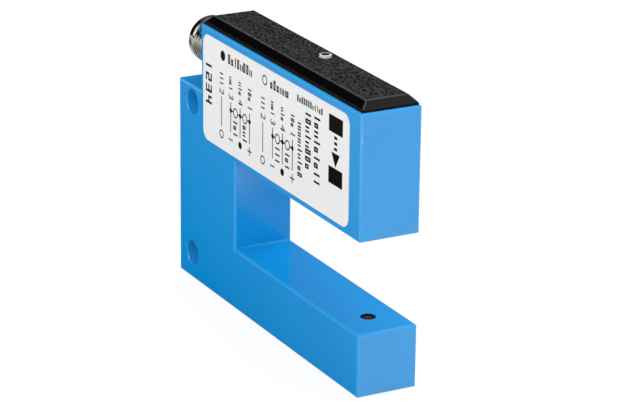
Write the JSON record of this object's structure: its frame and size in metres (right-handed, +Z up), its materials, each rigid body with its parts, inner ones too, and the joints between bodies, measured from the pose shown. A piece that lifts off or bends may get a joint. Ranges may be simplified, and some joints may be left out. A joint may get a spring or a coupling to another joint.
{
  "type": "fork sensor",
  "caption": "C-shaped optical fork sensor: a light beam crosses the opening between its arms, with a plastic lid on top, a label on its side and a round plug connector at the rear.",
  "frame": {"origin": "centre of the bounding box, at the underside of the lower arm", "axes": "+X along the arms towards their tips, +Y through the thickness away from the label, +Z up"},
  "size_m": [0.063, 0.0106, 0.0481],
  "materials": {
    "body_blue": "satin coat on cast aluminium",
    "lid_black": "fine-grained moulding",
    "seal_black": "matte",
    "guide_clear": "translucent moulding",
    "label_film": "printed polyester film",
    "barrel_nickel": "nickel plated",
    "carrier_black": "moulded",
    "contact_gold": "gold plated",
    "stop_black": "turned and blackened",
    "filter_red": "deep red filter",
    "lamp_clear": "clear epoxy",
    "lamp_dark": "dark filter epoxy",
    "lamp_yellow": "tinted epoxy",
    "wire_red": "insulated wire",
    "wire_black": "insulated wire",
    "board_green": "glass-fibre board",
    "chip_black": "moulded package",
    "capacitor_yellow": "moulded package"
  },
  "bodies": {
    "root": {"housing": "body_blue", "lid": "lid_black", "lid_seal": "seal_black", "light_guide": "guide_clear", "type_label": "label_film", "connector_barrel": "barrel_nickel", "sealing_ring": "seal_black", "pin_carrier": "carrier_black", "contact_pin_1": "contact_gold", "contact_pin_2": "contact_gold", "contact_pin_3": "contact_gold", "contact_pin_4": "contact_gold", "emitter_stop": "stop_black", "emitter_window": "filter_red", "emitter_lamp": "lamp_clear", "emitter_wire_plus": "wire_red", "emitter_wire_minus": "wire_black", "receiver_stop": "stop_black", "receiver_window": "filter_red", "receiver_lamp": "lamp_dark", "circuit_board": "board_green", "indicator_lamp": "lamp_yellow", "amplifier_chip": "chip_black", "output_chip": "chip_black", "supply_capacitor": "capacitor_yellow", "protection_diode": "chip_black"}
  },
  "joints": []
}
